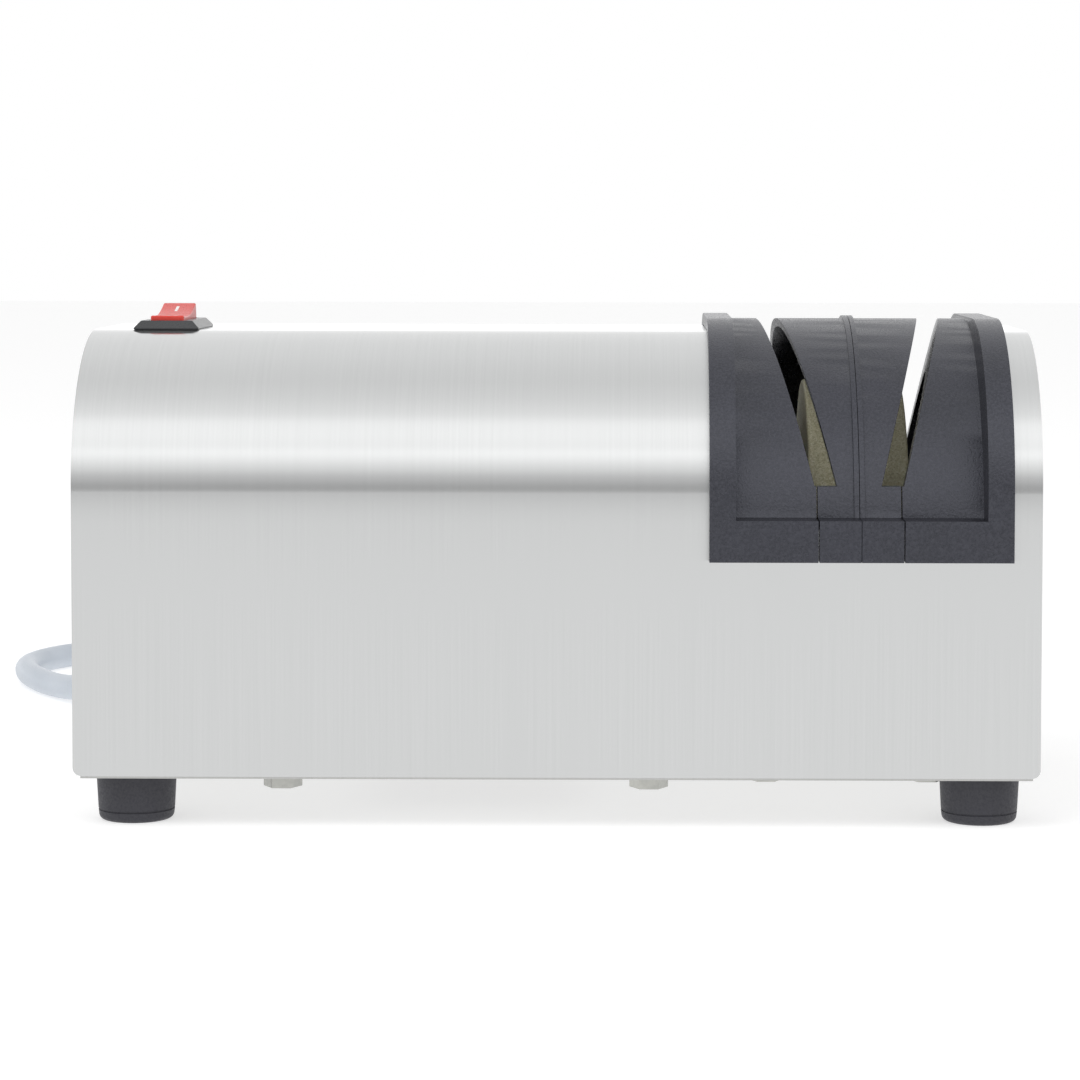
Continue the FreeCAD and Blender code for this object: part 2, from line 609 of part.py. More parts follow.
def switch():
    x, y = D.switch_x, D.switch_y
    base = D.housing_top
    pivot = D.pivot_height
    half = D.rocker_half_width
    frustum = doc.addObject("PartDesign::Body", "Bezel")
    low = sketch_on(frustum, "XY_Plane", [(-9.8, -17.3), (9.8, -17.3), (9.8, 17.3), (-9.8, 17.3)])
    high = sketch_on(frustum, "XY_Plane", [(-7.7, -16), (7.7, -16), (7.7, 16), (-7.7, 16)])
    high.AttachmentOffset = FreeCAD.Placement(Vector(0, 0, SIZES["bezel_rise"] - 0.5), FreeCAD.Rotation())
    loft = frustum.newObject("PartDesign::AdditiveLoft", "Loft")
    loft.Profile = low
    loft.Sections = [high]
    loft.Ruled = True
    place(frustum, x, y, base + 0.5)
    lip = box(x - 9.8, x + 9.8, y - 17.3, y + 17.3, base, base + 0.5)
    barrel = box(x - 6.3, x + 6.3, y - 16, y + 16, base - 22, base)
    well = box(x - half - 0.3, x + half + 0.3, y - 15.2, y + 15.2, base - 10, base + 5)
    blades = [box(x - 3.3, x + 3.3, y + step - 0.5, y + step + 0.5, base - 30, base - 19)
              for step in (-9, 0, 9)]
    pin = rod("x", x - half - 0.3, y, pivot, 1.5, (half + 0.3) * 2)
    slots = [box(x - 3.4, x + 3.4, y + step - 0.6, y + step + 0.6, base - 30, base - 18.9)
             for step in (-9, 0, 9)]
    node("switch_frame", fuse(cut(fuse(frustum, lip, barrel), well, *slots), pin))
    node("switch_terminals", group(*blades))

    tilt = math.radians(SIZES["rocker_tilt"])
    arm, rise = D.rocker_arm, D.rocker_rise
    valley = (rise * -math.sin(tilt / 2), rise * math.cos(tilt / 2))
    front = (valley[0] - arm, valley[1])
    back = (valley[0] + arm * math.cos(tilt), valley[1] + arm * math.sin(tilt))
    outline = [valley, front, (front[0], front[1] - 5.5), (-3.4, -5.2), (3.0, -5.6),
               (back[0] + 5.5 * math.sin(tilt), back[1] - 5.5 * math.cos(tilt)), back]
    rocker = prism_x([(y + a, pivot + b) for a, b in outline], x - half, x + half)
    node("rocker", cut(rocker, rod("x", x - 8, y, pivot, 1.56, 16)))


# Capacitor, terminal block and wires

def electrics():
    low = D.tray_bottom + D.tray_sheet
    y, z = 54, low + 15
    node("run_capacitor", fuse(rod("x", -60, y, z, 13.5, 52), rod("x", -8, y, z, 11.5, 3)))
    strap = cut(fuse(rod("x", -42, y, z, 15, 12), box(-42, -30, y - 24, y, low, low + 1.2),
                     box(-42, -30, y - 15, y - 13.8, low, z)),
                rod("x", -50, y, z, 13.6, 40), box(-60, -8, y - 40, y + 20, low - 5, low))
    node("capacitor_clip", strap)
    blocks = [box(-124, -102, 20 + 9 * i, 28 + 9 * i, low + 3, low + 16) for i in range(3)]
    holes = [rod("z", -113, 24 + 9 * i, low + 9, 2.4, 12) for i in range(3)]
    node("terminal_block", cut(fuse(box(-126, -100, 19, 47, low, low + 4), *blocks), *holes))
    wires = []
    for i, step in enumerate((-9, 0)):
        x = SIZES["switch_x"] + 5 * i
        wires.append(tube([(x, SIZES["switch_y"] + step, 113), (x, SIZES["switch_y"] + step, 96),
                           (x, 10 + 6 * i, 70), (x, 28 + 9 * i, 52), (x, 28 + 9 * i, 32.4)], 1.3))
    wires.append(tube([(-113, 44, 32.4), (-113, 44, 50), (-98, 52, 60), (-80, 54, 62), (-60.5, 51, 64)], 1.3))
    wires.append(tube([(-4.8, 54, 31), (4, 54, 31), (9, 52, 36), (9, 50, 44)], 1.3))
    feature = doc.addObject("Part::Feature", "Wiring")
    feature.Shape = Part.Compound(wires)
    node("wiring", feature)


# Tubes and turns

def rounded_path(points):
    """Straight runs joined by the largest tangent arcs that the runs allow."""
    points = [Vector(*p) for p in points]
    edges, radii, start = [], [], points[0]
    for before, corner, after in zip(points, points[1:], points[2:]):
        back, ahead = (before - corner), (after - corner)
        turn = math.pi - back.getAngle(ahead)
        tangent = 0.45 * min(back.Length, ahead.Length)
        radii.append(tangent / math.tan(turn / 2))
        enter = corner + Vector(back).normalize() * tangent
        leave = corner + Vector(ahead).normalize() * tangent
        inward = (Vector(back).normalize() + Vector(ahead).normalize()).normalize()
        top = corner + inward * (radii[-1] * (1 / math.cos(turn / 2) - 1))
        edges.append(Part.LineSegment(start, enter).toShape())
        edges.append(Part.Arc(enter, top, leave).toShape())
        start = leave
    edges.append(Part.LineSegment(start, points[-1]).toShape())
    return Part.Wire(edges), radii


def swept(wire, radius):
    first = wire.Edges[0]
    ring = Part.Wire([Part.Circle(first.valueAt(first.FirstParameter),
                                  first.tangentAt(first.FirstParameter), radius).toShape()])
    return wire.makePipeShell([ring], True, False)


def tube(points, radius, name=""):
    wire, radii = rounded_path(points)
    solid = swept(wire, radius)
    if name:
        expected = math.pi * radius ** 2 * wire.Length
        print(name, "length", round(wire.Length, 1), "least radius", round(min(radii), 1),
              "volume ratio", round(solid.Volume / expected, 4))
    return solid


def coil_point(angle):
    """The coil's centre line: it spirals in on the floor, climbs a layer, and spirals out."""
    full = SIZES["coil_turns"] * 2 * math.pi
    middle, pitch = full / 2, SIZES["coil_pitch"]
    radius = SIZES["coil_radius"] - pitch * min(angle, full - angle) / (2 * math.pi)
    climb = min(max(angle - (middle - math.pi / 2), 0.0), math.pi)
    height = SIZES["coil_floor"] + pitch * (1 - math.cos(climb)) / 2
    around = COIL_START - angle
    return Vector(SIZES["coil_x"] + radius * math.cos(around),
                  SIZES["coil_y"] + radius * math.sin(around), height)


COIL_START = math.radians(90)


def coil_tangent(angle):
    step = 0.01
    return (coil_point(angle + step) - coil_point(angle - step)).normalize()


def biarc(start, along, finish, away):
    """Two tangent arcs from start to finish with the given end directions."""
    chord = finish - start
    both = along + away
    spare = 2 * (1 - along.dot(away))
    reach = (-chord.dot(both) + math.sqrt(chord.dot(both) ** 2 + spare * chord.dot(chord))) / spare
    first, second = start + along * reach, finish - away * reach
    join = (first + second) * 0.5
    edges = []
    for a, corner, b in ((start, first, join), (join, second, finish)):
        half = (a - corner).getAngle(b - corner) / 2
        radius = (a - corner).Length * math.tan(half)
        inward = ((a - corner).normalize() + (b - corner).normalize()).normalize()
        top = corner + inward * (radius / math.sin(half) - radius)
        edges.append(Part.Arc(a, top, b).toShape())
    return edges


def coil_wire():
    quarters = round(SIZES["coil_turns"] * 4)
    angles = [math.pi / 2 * i for i in range(quarters + 1)]
    ends = [coil_tangent(0.02), coil_tangent(angles[-1] - 0.02)]
    tangents = [ends[0]] + [coil_tangent(a) for a in angles[1:-1]] + [ends[1]]
    points = [coil_point(a) for a in angles]
    lead = SIZES["cord_radius"] * 2
    edges = [Part.LineSegment(points[0] - tangents[0] * lead, points[0]).toShape()]
    for i in range(quarters):
        edges += biarc(points[i], tangents[i], points[i + 1], tangents[i + 1])
    edges.append(Part.LineSegment(points[-1], points[-1] + tangents[-1] * lead).toShape())
    samples = [coil_point(angles[-1] * k / 1600) for k in range(1601)]
    skip = 200
    gap = min((samples[i] - samples[j]).Length for i in range(0, 1601, 4)
              for j in range(i + skip, 1601, 4)) - lead
    print("coil length", round(sum(e.Length for e in edges), 1), "least gap to itself", round(gap, 2))
    return Part.Wire(edges), points, tangents, lead


def cord():
    x, z = D.cord_exit_x, D.cord_exit_height
    back = D.housing_half_width
    nut = fuse(rod("y", x, back - 6, z, 6.6, 6), rod("y", x, back, z, 9, 3))
    boot = taper("y", x, back + 3, z, 7.6, 5.6, D.relief_length - 3)
    lock = hexagon("y", x, back - 6.4, z, 17, 4)
    rings = [cut(rod("y", x, back + at, z, 12, 1.6), rod("y", x, back + at - 1, z, 5.4, 4))
             for at in (6, 10, 14, 18)]
    hollow = rod("y", x, back - 10, z, D.cord_radius + 0.1, 60)
    relief = cut(fuse(nut, boot, lock), *rings, hollow)
    node("strain_relief", relief)

    wire, points, tangents, lead = coil_wire()
    start = points[0] - tangents[0] * lead
    exit_y = SIZES["housing_half_width"] + 2
    route = [(SIZES["cord_exit_x"], exit_y, SIZES["cord_exit_height"])] + CORD_ROUTE
    run_in = start - tangents[0] * 32
    route += [tuple(run_in), tuple(start)]
    lead_feature = doc.addObject("Part::Feature", "CordLead")
    lead_feature.Shape = tube(route, SIZES["cord_radius"], "cord lead")
    node("cord_lead", lead_feature)
    coil_feature = doc.addObject("Part::Feature", "CordCoil")
    coil_feature.Shape = swept(wire, SIZES["cord_radius"])
    print("cord total", round(rounded_path(route)[0].Length + wire.Length, 1))
    node("cord_coil", coil_feature)

    tail_start = points[-1] + tangents[-1] * lead
    tail = [tail_start, tail_start + tangents[-1] * 28, tail_start + tangents[-1] * 56 + Vector(0, 6, 0)]
    tail_feature = doc.addObject("Part::Feature", "CordTail")
    tail_feature.Shape = tube([tuple(p) for p in tail], SIZES["cord_radius"], "cord tail")
    node("cord_tail", tail_feature)

    cx, cy = SIZES["coil_x"], SIZES["coil_y"]
    outer = SIZES["coil_radius"] - 0.5 * SIZES["coil_pitch"] + 5.05
    inner = SIZES["coil_radius"] - 1.5 * SIZES["coil_pitch"] - 5.05
    high = SIZES["coil_floor"] + SIZES["coil_pitch"] + 5.0
    band = cut(box(cx - 5, cx + 5, cy - outer - 1, cy - inner + 1, 0, high + 1),
               box(cx - 6, cx + 6, cy - outer, cy - inner, 1, high))
    node("cord_tie", band)

    plug(tail[2], (tail[2] - tail[1]).normalize())


def plug(at, along):
    """A moulded three pin plug, lying on the floor beside the coil."""
    half = at.z
    frame = FreeCAD.Placement(at, FreeCAD.Rotation(Vector(1, 0, 0), Vector(along.x, along.y, 0)))
    grip = Part.makeCone(6, 10, 14, Vector(0, 0, 0), Vector(1, 0, 0))
    head = Part.makeBox(26, 26, 2 * half, Vector(13, -13, -half))
    head = head.makeFillet(5, [e for e in head.Edges if e.BoundBox.XLength > 20])
    body = grip.fuse(head).removeSplitter()
    pin_low = 39
    pins = [Part.makeBox(18, 1.6, 6.4, Vector(pin_low, y - 0.8, -7)) for y in (-6.35, 6.35)]
    earth = Part.makeCylinder(2.4, 20, Vector(pin_low, 0, 6), Vector(1, 0, 0))
    for label, shape in (("plug_body", body), ("plug_pins", Part.Compound(pins + [earth]))):
        feature = doc.addObject("Part::Feature", label.title().replace("_", ""))
        feature.Shape = shape
        feature.Placement = frame
        node(label, feature)


# Route of the cord from its exit to the coil, laid by hand to follow the photograph
CORD_ROUTE = [(-122.0, 110.0, 30.0), (-140.0, 136.0, 21.0), (-165.0, 152.0, 9.0), (-186.0, 177.0, 4.5),
              (-205.0, 209.0, 4.6), (-213.0, 244.0, 4.5), (-197.0, 277.0, 4.6), (-163.0, 290.0, 4.5),
              (-126.0, 288.0, 4.6), (-92.0, 280.0, 4.5)]


def write_nodes():
    doc.recompute()
    failed = [item.Label for item in doc.Objects if {"Invalid", "Error"} & set(item.State)]
    for item in nodes:
        if item.Shape.isNull() or not item.Shape.isValid() or not item.Shape.Solids:
            failed.append("shape " + item.Label)
    if failed:
        raise RuntimeError("failed: " + ", ".join(failed))
    os.makedirs("parts", exist_ok=True)
    for old in os.listdir("parts"):
        if old.endswith(".step"):
            os.remove(os.path.join("parts", old))
    for item in nodes:
        item.Shape.exportStep(os.path.join("parts", item.Label + ".step"))
    print(len(nodes), "nodes written")


for make in (case_pieces, feet, saddle, motor, brackets, rotor, switch, electrics, cord):
    make()
write_nodes()
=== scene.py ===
# %% [markdown]
# Electric knife sharpener, as it looks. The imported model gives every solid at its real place, and
# this lesson dresses it: a brushed stainless case, a moulded black guide saddle over two abrasive
# wheels, a red rocker, rubber feet and a grey mains cord. Each cell says what a piece is on the
# real object and why its mesh or its material is made the way it is.

# %% Load the frame
import json
import math

import bmesh
import bpy
import numpy as np
from mathutils import Matrix, Vector


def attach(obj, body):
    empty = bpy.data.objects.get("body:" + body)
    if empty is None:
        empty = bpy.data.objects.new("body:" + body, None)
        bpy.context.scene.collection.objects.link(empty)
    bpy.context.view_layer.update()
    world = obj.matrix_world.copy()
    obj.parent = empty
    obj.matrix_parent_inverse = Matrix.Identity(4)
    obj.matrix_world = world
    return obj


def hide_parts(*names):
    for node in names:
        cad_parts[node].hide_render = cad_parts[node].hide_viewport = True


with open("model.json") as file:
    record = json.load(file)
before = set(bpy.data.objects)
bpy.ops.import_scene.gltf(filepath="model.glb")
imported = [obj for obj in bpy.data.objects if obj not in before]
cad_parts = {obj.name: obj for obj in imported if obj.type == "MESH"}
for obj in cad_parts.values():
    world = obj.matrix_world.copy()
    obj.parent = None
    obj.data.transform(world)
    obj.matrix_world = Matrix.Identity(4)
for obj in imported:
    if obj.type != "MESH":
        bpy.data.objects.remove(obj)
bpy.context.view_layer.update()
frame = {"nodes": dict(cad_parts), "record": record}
MM = 0.001
print("nodes", len(frame["nodes"]))

# %% [markdown]
# The camera comes first. It stands about a metre in front of the case and a little above its top,
# with a long lens, so that the front face looks flat and the top is a thin line. The values come
# from the edges of the case in the photograph, set against the sizes that the case is built to.

# %% Camera
PHOTO_SIDE = 1080.0
FOCAL_PIXELS = 3269.7
PRINCIPAL_POINT = (616.8, 391.5)
EYE = Vector((23.2, -1010.7, 176.1)) * MM
PITCH_DOWN = 0.05235
YAW_LEFT = 0.00628
ROLL = 0.002

lens_data = bpy.data.cameras.new("photo_camera")
lens_data.sensor_width = 36.0
lens_data.lens = 36.0 * FOCAL_PIXELS / PHOTO_SIDE
lens_data.shift_x = (PHOTO_SIDE / 2 - PRINCIPAL_POINT[0]) / PHOTO_SIDE
lens_data.shift_y = (PRINCIPAL_POINT[1] - PHOTO_SIDE / 2) / PHOTO_SIDE
lens_data.clip_start = 0.05
lens_data.clip_end = 30.0
camera = bpy.data.objects.new("photo_camera", lens_data)
camera.location = EYE
turn = Matrix.Rotation(YAW_LEFT, 4, "Z") @ Matrix.Rotation(math.pi / 2 - PITCH_DOWN, 4, "X")
camera.rotation_euler = (turn @ Matrix.Rotation(ROLL, 4, "Z")).to_euler()
bpy.context.scene.collection.objects.link(camera)
bpy.context.scene.camera = camera
print("lens", round(lens_data.lens, 1), "mm")

# %% [markdown]
# Small helpers. A colour is written as an sRGB hex value and turned to linear light once. A node is
# added with its settings and links in one call. A mesh is a grid of points worked out by numpy.

# %% Helpers


def linear(hex_colour):
    """An sRGB hex colour as linear red, green, blue and an alpha of 1."""
    channels = [int(hex_colour[i:i + 2], 16) / 255 for i in (1, 3, 5)]
    return tuple(c / 12.92 if c <= 0.04045 else ((c + 0.055) / 1.055) ** 2.4 for c in channels) + (1.0,)


def set_inputs(tree, node, **inputs):
    """Set or link inputs of a node: by name, with _ for a space, or by place, as i0 and i1."""
    for name, value in inputs.items():
        key = int(name[1:]) if name[0] == "i" and name[1:].isdigit() else name.replace("_", " ")
        socket = node.inputs[key]
        if isinstance(value, bpy.types.NodeSocket):
            tree.links.new(value, socket)
        else:
            socket.default_value = value


def add_node(tree, kind, settings=None, **inputs):
    """One shader node: settings are its properties, inputs are values or sockets to link."""
    node = tree.nodes.new(kind)
    for name, value in (settings or {}).items():
        setattr(node, name, value)
    set_inputs(tree, node, **inputs)
    return node


def new_material(name):
    """A material whose tree holds only its shader and its output."""
    material = bpy.data.materials.new(name)
    material.use_nodes = True
    tree = material.node_tree
    tree.nodes.clear()
    shader = add_node(tree, "ShaderNodeBsdfPrincipled")
    output = add_node(tree, "ShaderNodeOutputMaterial", Surface=shader.outputs[0])
    output.location = (400, 0)
    return material, tree, shader


def colour_ramp(tree, factor, stops):
    """A ramp through (place, hex colour) stops."""
    ramp = add_node(tree, "ShaderNodeValToRGB", Fac=factor)
    points = ramp.color_ramp.elements
    while len(points) < len(stops):
        points.new(0.5)
    for point, (place, colour) in zip(points, stops):
        point.position = place
        point.color = linear(colour)
    return ramp.outputs["Color"]


def pattern_space(tree, scale):
    """Object coordinates in metres, stretched: the scale is in waves per metre on each axis."""
    place = add_node(tree, "ShaderNodeTexCoord").outputs["Object"]
    return add_node(tree, "ShaderNodeMapping", Vector=place, Scale=scale).outputs["Vector"]


def link_object(name, data):
    """An object at the origin that shows a mesh, a curve or a lamp."""
    made = bpy.data.objects.new(name, data)
    bpy.context.scene.collection.objects.link(made)
    return made


def link_mesh(name, points, faces, smooth=True):
    """A mesh object at the origin from points in millimetres."""
    mesh = bpy.data.meshes.new(name)
    mesh.from_pydata((np.asarray(points) * MM).tolist(), [], [tuple(f) for f in faces])
    mesh.validate()
    piece = link_object(name, mesh)
    if smooth:
        mesh.shade_smooth()
    return piece


def grid_faces(rows, columns, closed=False):
    """Quads of a grid of points; closed joins the last column to the first."""
    r, c = np.meshgrid(np.arange(rows - 1), np.arange(columns if closed else columns - 1), indexing="ij")
    after = (c + 1) % columns
    return np.stack([r * columns + c, r * columns + after, (r + 1) * columns + after,
                     (r + 1) * columns + c], -1).reshape(-1, 4)


def outward(piece):
    """Recalculate the normals of a closed piece so that they point out."""
    work = bmesh.new()
    work.from_mesh(piece.data)
    bmesh.ops.remove_doubles(work, verts=work.verts, dist=1e-6)
    bmesh.ops.recalc_face_normals(work, faces=work.faces)
    work.to_mesh(piece.data)
    work.free()


def finish_piece(piece, material, body, replaced=(), sharp=40):
    """Give a piece its finish, its body and the solids that it stands for."""
    piece.data.materials.clear()
    piece.data.materials.append(material)
    if piece.type == "MESH":
        piece.data.shade_smooth()
        if sharp:
            piece.data.set_sharp_from_angle(angle=math.radians(sharp))
    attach(piece, body)
    if replaced:
        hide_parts(*replaced)


def turned(name, profile, axis, centre, steps=96):
    """A lathe shape: each profile point (along, radius) sweeps a circle about the axis."""
    along, radius = np.array(profile, float).T
    angle = np.linspace(0, 2 * np.pi, steps, endpoint=False)
    a, r = np.broadcast_to(along[:, None], (len(along), steps)), radius[:, None]
    ring = (a, r * np.cos(angle), r * np.sin(angle))
    if axis == "z":
        ring = (ring[1], ring[2], a)
    elif axis == "y":
        ring = (ring[2], a, ring[1])
    points = np.stack(ring, -1).reshape(-1, 3) + np.array(centre)
    piece = link_mesh(name, points, grid_faces(len(along), steps, closed=True))
    outward(piece)
    return piece


def round_edges(piece, width, segments, degrees, harden=True):
    """A bevel, its width in millimetres, on every edge that turns by more than an angle."""
    edge = piece.modifiers.new("rounded", "BEVEL")
    edge.width = width * MM
    edge.segments = segments
    edge.limit_method = "ANGLE"
    edge.angle_limit = math.radians(degrees)
    edge.harden_normals = harden
    edge.use_clamp_overlap = True


def softened(node, width):
    """A copy of a solid with its moulded edges rounded: merged, cleaned and bevelled."""
    mesh = frame["nodes"][node].data.copy()
    piece = link_object(node + "_dressed", mesh)
    work = bmesh.new()
    work.from_mesh(mesh)
    bmesh.ops.remove_doubles(work, verts=work.verts, dist=2e-6)
    bmesh.ops.dissolve_limit(work, angle_limit=math.radians(1.0), verts=work.verts, edges=work.edges)
    work.to_mesh(mesh)
    work.free()
    round_edges(piece, width, segments=2, degrees=35)
    return piece


# %% [markdown]
# Brushed stainless steel, grade 304. Belts of grit draw fine parallel scratches round the bend, so a
# reflection smears sideways but stays crisp up and down: that is an anisotropic metal whose tangent
# runs along the case. Streak noise is stretched nearly two hundred times along the
# scratches. Real scratches are finer than a pixel, so they are drawn 0.4 mm apart to show.

# %% Metals
STREAKS_PER_METRE = 2600.0
STREAK_LENGTHS_PER_METRE = 14.0
GRAIN_PER_METRE = 900.0


def brushed_steel(name, dark, light, roughness, along="X", sideways=0.0):
    """Streaks across one axis: fine in that axis, long in the other two."""
    material, tree, shader = new_material(name)
    fine = [STREAK_LENGTHS_PER_METRE] * 3
    fine["XYZ".index(along)] = STREAKS_PER_METRE
    space = pattern_space(tree, tuple(fine))
    streak = add_node(tree, "ShaderNodeTexNoise", Vector=space, Scale=1.0, Detail=3.0, Roughness=0.6)
    cloud = add_node(tree, "ShaderNodeTexNoise", Vector=pattern_space(tree, (9.0, 9.0, 9.0)), Scale=1.0,
                     Detail=2.0)
    mixed = add_node(tree, "ShaderNodeMath", {"operation": "MULTIPLY_ADD"}, i0=cloud.outputs[0], i1=0.25,
                     i2=streak.outputs[0])
    colour = colour_ramp(tree, mixed.outputs[0], [(0.3, dark), (0.95, light)])
    rough = add_node(tree, "ShaderNodeMapRange", Value=streak.outputs[0], i3=roughness * 0.9,
                     i4=roughness * 1.12)
    bump = add_node(tree, "ShaderNodeBump", Height=streak.outputs[0], Strength=0.02, Distance=0.0001)
    set_inputs(tree, shader, Base_Color=colour, Roughness=rough.outputs[0], Normal=bump.outputs[0],
               Metallic=1.0)
    if sideways:
        tangent = add_node(tree, "ShaderNodeTangent", {"direction_type": "UV_MAP", "uv_map": "sheet"})
        set_inputs(tree, shader, Anisotropic=sideways, Tangent=tangent.outputs[0])
    return material


def cast_metal(name, dark, light, roughness):
    """Plated, cast or laminated metal: mottled colour and a fine uneven skin."""
    material, tree, shader = new_material(name)
    space = pattern_space(tree, (1.0, 1.0, 1.0))
    grain_noise = add_node(tree, "ShaderNodeTexNoise", Vector=space, Scale=GRAIN_PER_METRE, Detail=4.0)
    patch = add_node(tree, "ShaderNodeTexNoise", Vector=space, Scale=60.0, Detail=3.0)
    mixed = add_node(tree, "ShaderNodeMath", {"operation": "MULTIPLY_ADD"}, i0=grain_noise.outputs[0],
                     i1=0.4, i2=patch.outputs[0])
    colour = colour_ramp(tree, mixed.outputs[0], [(0.35, dark), (0.95, light)])
    rough = add_node(tree, "ShaderNodeMapRange", Value=patch.outputs[0], i3=roughness * 0.8,
                     i4=roughness * 1.25)
    bump = add_node(tree, "ShaderNodeBump", Height=grain_noise.outputs[0], Strength=0.12, Distance=0.0001)
    set_inputs(tree, shader, Base_Color=colour, Roughness=rough.outputs[0], Normal=bump.outputs[0],
               Metallic=1.0)
    return material


STAINLESS = brushed_steel("brushed stainless 304", "#cbcccc", "#d1d2d2", 0.2, sideways=0.95)
END_STEEL = brushed_steel("brushed stainless end sheet", "#bcbcba", "#d0d0ce", 0.36, along="Y")
TRAY_STEEL = brushed_steel("brushed stainless tray", "#b6b6b4", "#cacac8", 0.38)
ZINC = cast_metal("bright zinc plated steel", "#9b9c99", "#c6c6c0", 0.32)
LAMINATION = cast_metal("varnished lamination steel", "#3c3c40", "#5b5b60", 0.5)
CAST_ALLOY = cast_metal("die cast aluminium", "#8f9294", "#b4b6b8", 0.45)
COPPER_WIRE = cast_metal("enamelled copper wire", "#8f4a22", "#c07038", 0.35)
BRASS = cast_metal("nickel brass blades", "#b9ab7c", "#ded3a8", 0.25)

# %% [markdown]
# Moulded ABS from a spark-eroded mould. The tool leaves a fine random texture, which
# breaks a highlight into bright specks while the rest stays dark. It is drawn 0.4 to 1.1 mm across,
# coarser than a real one usually is, because a finer one doesn't show in the render.

# %% Plastics, rubber and grit
SPECK_PER_METRE = 2400.0


def moulded(name, dark, light, roughness, texture=SPECK_PER_METRE, depth=0.25, ior=1.53, level=0.5,
            tint="#ffffff", glint=0.0, bite=0.00012):
    """Moulded plastic: a slow drift of colour and the texture of the mould."""
    material, tree, shader = new_material(name)
    space = pattern_space(tree, (1.0, 1.0, 1.0))
    drift = add_node(tree, "ShaderNodeTexNoise", Vector=space, Scale=45.0, Detail=3.0)
    colour = colour_ramp(tree, drift.outputs[0], [(0.3, dark), (0.75, light)])
    spark = add_node(tree, "ShaderNodeTexNoise", Vector=space, Scale=texture, Detail=2.0, Roughness=0.7)
    rough = add_node(tree, "ShaderNodeMapRange", Value=spark.outputs[0], i1=0.3, i2=0.7,
                     i3=roughness * 0.75, i4=roughness * 1.3)
    bump = add_node(tree, "ShaderNodeBump", Height=spark.outputs[0], Strength=depth, Distance=bite)
    set_inputs(tree, shader, Base_Color=colour, Roughness=rough.outputs[0], Normal=bump.outputs[0],
               IOR=ior, Specular_IOR_Level=level, Specular_Tint=linear(tint))
    if glint:
        shine = add_node(tree, "ShaderNodeMapRange", Value=spark.outputs[0], i1=0.4, i2=0.65,
                         i3=level - glint, i4=min(1.0, level + glint))
        set_inputs(tree, shader, Specular_IOR_Level=shine.outputs[0])
    return material


def sintered_grit(name):
    """Abrasive bonded to a disc: grains 0.4 mm across, the palest of them a painted glint, and every colour
    painted lighter to make up for the shade in the slots.
    """
    material, tree, shader = new_material(name)
    space = pattern_space(tree, (1.0, 1.0, 1.0))
    grains = add_node(tree, "ShaderNodeTexVoronoi", Vector=space, Scale=2300.0)
    fine = add_node(tree, "ShaderNodeTexNoise", Vector=space, Scale=2200.0, Detail=3.0)
    mixed = add_node(tree, "ShaderNodeMix", {"data_type": "FLOAT"}, i0=0.5, i2=fine.outputs[0],
                     i3=grains.outputs["Color"])
    # The palest stop is a painted glint on some grains. All three stops are painted light, lifted to offset
    # the shade inside the slots.
    colour = colour_ramp(tree, mixed.outputs[0], [(0.25, "#bdb791"), (0.5, "#d8d2b0"), (0.8, "#f1edd6")])
    bump = add_node(tree, "ShaderNodeBump", Height=mixed.outputs[0], Strength=0.6, Distance=0.0003)
    set_inputs(tree, shader, Base_Color=colour, Normal=bump.outputs[0], Roughness=0.55,
               Specular_IOR_Level=0.6)
    return material


BLACK_ABS = moulded("spark textured black ABS", "#17171c", "#1f1f26", 0.3, texture=1500.0, depth=0.5,
                   level=0.8, tint="#eef1ff", glint=0.12, bite=0.0002)
BEZEL_NYLON = moulded("black nylon switch frame", "#1e2022", "#282a2d", 0.3, level=0.7)
RED_PLASTIC = moulded("red polycarbonate rocker", "#d2291d", "#de3a2c", 0.3, depth=0.08, ior=1.58)
MARK_WHITE = moulded("white printed mark", "#f2f1ee", "#fbfaf7", 0.5, depth=0.05)
RUBBER = moulded("black moulded rubber", "#2b2b31", "#36363d", 0.6, texture=1500.0, depth=0.3, ior=1.52)
CORD_PVC = moulded("light grey flexible PVC", "#b9c1cb", "#c9d0d9", 0.36, texture=1200.0, depth=0.06)
WHITE_NYLON = moulded("natural nylon", "#d6d4ca", "#e4e2da", 0.45, depth=0.1)
BLACK_NYLON = moulded("black hook and loop strap", "#1f1f22", "#2b2b2f", 0.8, texture=900.0, depth=0.8)
GRIT = sintered_grit("bonded abrasive grit")

# %% [markdown]
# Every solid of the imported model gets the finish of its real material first. Pieces that are
# modelled again below take over from some of them.

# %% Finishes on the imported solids
FINISH_OF_SLOT = {
    "stainless": TRAY_STEEL, "zinc_steel": ZINC, "black_abs": BLACK_ABS, "black_rubber": RUBBER,
    "electrical_steel": LAMINATION, "cast_aluminium": CAST_ALLOY, "copper": COPPER_WIRE,
    "abrasive": GRIT, "white_nylon": WHITE_NYLON, "red_rocker": RED_PLASTIC,
    "black_nylon": BEZEL_NYLON, "grey_pvc": CORD_PVC, "brass_plated": BRASS,
}
slot_of_node = {part["node"]: part["material_slot"] for part in frame["record"]["subparts"]}
for node_name, solid in frame["nodes"].items():
    solid.data.materials.clear()
    solid.data.materials.append(FINISH_OF_SLOT[slot_of_node[node_name]])
for node_name in ("left_end_plate", "right_end_plate"):
    frame["nodes"][node_name].data.materials[0] = END_STEEL

# %% [markdown]
# The case is one sheet, 1.2 mm thick, bent over two shoulders of 45.5 mm radius. Its section is a
# profile of two walls, two quarter circles and a flat top, carried straight along X. Cells of the
# grid are left out where the sheet is cut away for the saddle and the switch.

# %% Case
HALF_LENGTH = 140.0
HALF_DEPTH = 72.5
LOW_EDGE = 15.0
TOP = 143.0
SHOULDER = 45.5
SHEET = 1.2
SADDLE_CUT = (49.3, 126.2)
SADDLE_CUT_LOW = 87.2
SWITCH_AT = (-118.4, -12.7)
SWITCH_CUT = (6.5, 16.2)
CORNER = 2.6


